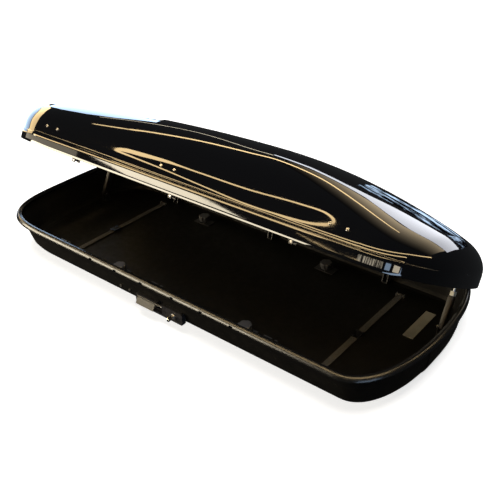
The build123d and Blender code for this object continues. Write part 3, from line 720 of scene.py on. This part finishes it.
def light_arch():
    """Gold lines and the leaf-shaped loop along the lid, and the pale bands at its nose and tail."""
    lamp_line("shoulder_line", on_arch, SHOULDER, (0.004, 0.008, 0.008, 0.007, 0.006, 0.004), GOLD, 7.0)
    lamp_line("leaf_loop", on_arch, LEAF, LEAF_WIDTHS, GOLD, 13.0, True)
    lamp_line("crease_low", on_arch, CREASE_LOW, (0.003, 0.0035, 0.003, 0.003), GOLD, 12.0)
    lamp_line("crease_high", on_arch, CREASE_HIGH, (0.001, 0.003, 0.003, 0.003), GOLD, 12.0)
    lamp_line("crown_line", on_arch, CROWN_LINE, (0.003, 0.003, 0.005), CREAM, 3.0)
    lamp("nose_band", on_arch,
         [(0.30, 0.635), (0.45, 0.650), (0.60, 0.637), (0.70, 0.62), (0.80, 0.57), (0.90, 0.53), (1.0, 0.53)],
         [(0.30, 0.648), (0.45, 0.672), (0.60, 0.665), (0.70, 0.68), (0.80, 0.72), (0.90, 0.76), (1.0, 0.80)],
         (0.90, 0.92, 1.0), 3.4)
    lamp("nose_sky", on_arch, [(0.62, 0.74), (0.74, 0.76), (0.87, 0.80), (1.0, 0.86)],
         [(0.62, 0.92), (0.74, 1.05), (0.87, 1.12), (0.99, 1.08)], BLUE, 2.6, clouds=1.6)
    lamp("nose_warm", on_arch,
         [(0.36, 0.56), (0.50, 0.50), (0.65, 0.42), (0.80, 0.33), (0.90, 0.27), (0.985, 0.25)],
         [(0.36, 0.63), (0.50, 0.635), (0.62, 0.625), (0.73, 0.600), (0.87, 0.528), (0.995, 0.522)],
         (1.0, 0.80, 0.52), 2.1, soft=0.6)
    lamp("tail_roof", on_arch, [(-0.93, 0.62), (-0.80, 0.60), (-0.60, 0.62), (-0.45, 0.66), (-0.32, 0.74)],
         [(-0.93, 1.3), (-0.80, 1.25), (-0.60, 1.2), (-0.45, 1.0), (-0.36, 0.85)], WHITE, 5.0)
    lamp("tail_blue", on_arch, [(-0.86, 0.44), (-0.75, 0.42), (-0.60, 0.44), (-0.45, 0.50), (-0.28, 0.62)],
         [(-0.88, 0.60), (-0.80, 0.59), (-0.60, 0.61), (-0.45, 0.65), (-0.30, 0.70)], BLUE, 4.0)
    # The next two start at the arch's foot. Just below it on_arch has no value, so their first points end up
    # behind the lid.
    lamp("tail_gold", on_arch, [(-0.855, 0.0), (-0.86, 0.1), (-0.86, 0.27), (-0.90, 0.50)],
         [(-0.815, 0.0), (-0.81, 0.1), (-0.81, 0.25), (-0.82, 0.40)], GOLD, 6.0)
    lamp("tail_end", on_arch, [(-0.86, 0.0), (-0.865, 0.1), (-0.865, 0.27), (-0.905, 0.50)],
         [(-0.985, 0.0), (-0.985, 0.15), (-0.98, 0.4), (-0.96, 0.60)], BLUE, 3.0)


def light_skirt():
    """The lens of light on the skirt, and the patches at its tail and nose."""
    lamp("skirt_lens", on_skirt, [(-0.42, 0.158), (-0.2, 0.134), (0.0, 0.129), (0.2, 0.127), (0.40, 0.129)],
         [(-0.42, 0.160), (-0.2, 0.165), (0.0, 0.163), (0.2, 0.152), (0.40, 0.131)], CREAM, 14.0)
    lamp("skirt_tail", on_skirt, [(-0.86, 0.124), (-0.5, 0.124)], [(-0.86, 0.166), (-0.5, 0.166)], CREAM, 1.8)
    lamp("skirt_nose", on_skirt, [(0.83, 0.130), (0.87, 0.127), (0.905, 0.127)],
         [(0.83, 0.160), (0.87, 0.166), (0.905, 0.167)], CREAM, 7.0, clouds=3.0)
    lamp("skirt_nose_blue", on_skirt, [(0.912, 0.130), (0.925, 0.130)], [(0.912, 0.166), (0.925, 0.166)],
         BLUE, 5.0)
    lamp("skirt_nose_edge", on_skirt, [(0.932, 0.128), (0.946, 0.134)], [(0.932, 0.166), (0.946, 0.158)],
         CREAM, 7.0)
    lamp_line("skirt_arc", on_skirt, SKIRT_ARC, (0.001, 0.003, 0.003, 0.002), GOLD, 10.0)


def make_world():
    """Faint light from all round, and plain sRGB colours."""
    world = bpy.data.worlds.new("studio")
    world.use_nodes = True
    background = next(n for n in world.node_tree.nodes if n.type == "BACKGROUND")
    background.inputs["Color"].default_value = (*WORLD_COLOUR, 1)
    background.inputs["Strength"].default_value = WORLD_STRENGTH
    bpy.context.scene.world = world
    bpy.context.scene.view_settings.view_transform = "Standard"


def camera_axes():
    """The camera's place and its right, up and back: at the nose end of the near side, looking down."""
    azimuth, roll = radians(CAMERA_AZIMUTH), radians(CAMERA_ROLL)
    back = towards(CAMERA_AZIMUTH, CAMERA_ELEVATION)
    level = Vector((cos(azimuth), sin(azimuth), 0))
    upright = back.cross(level)
    right = level * cos(roll) + upright * sin(roll)
    up = upright * cos(roll) - level * sin(roll)
    place = Vector((0, 0, RIM_Z)) + back * CAMERA_DISTANCE + right * CAMERA_ASIDE + up * CAMERA_UP
    return place, right, up, back


def make_camera():
    """The camera that stands where the lamps' reflections fall into place."""
    place, right, up, back = camera_axes()
    camera = bpy.data.cameras.new("camera")
    camera.lens, camera.sensor_width = LENS, 36.0
    holder = bpy.data.objects.new("camera", camera)
    holder.matrix_world = Matrix.Translation(place) @ Matrix((right, up, back)).transposed().to_4x4()
    bpy.context.scene.collection.objects.link(holder)
    bpy.context.scene.camera = holder


make_camera()
dress_nodes()
make_lid()
make_rim()
make_covers()
make_backdrop()
make_lights()
light_arch()
light_skirt()
make_world()
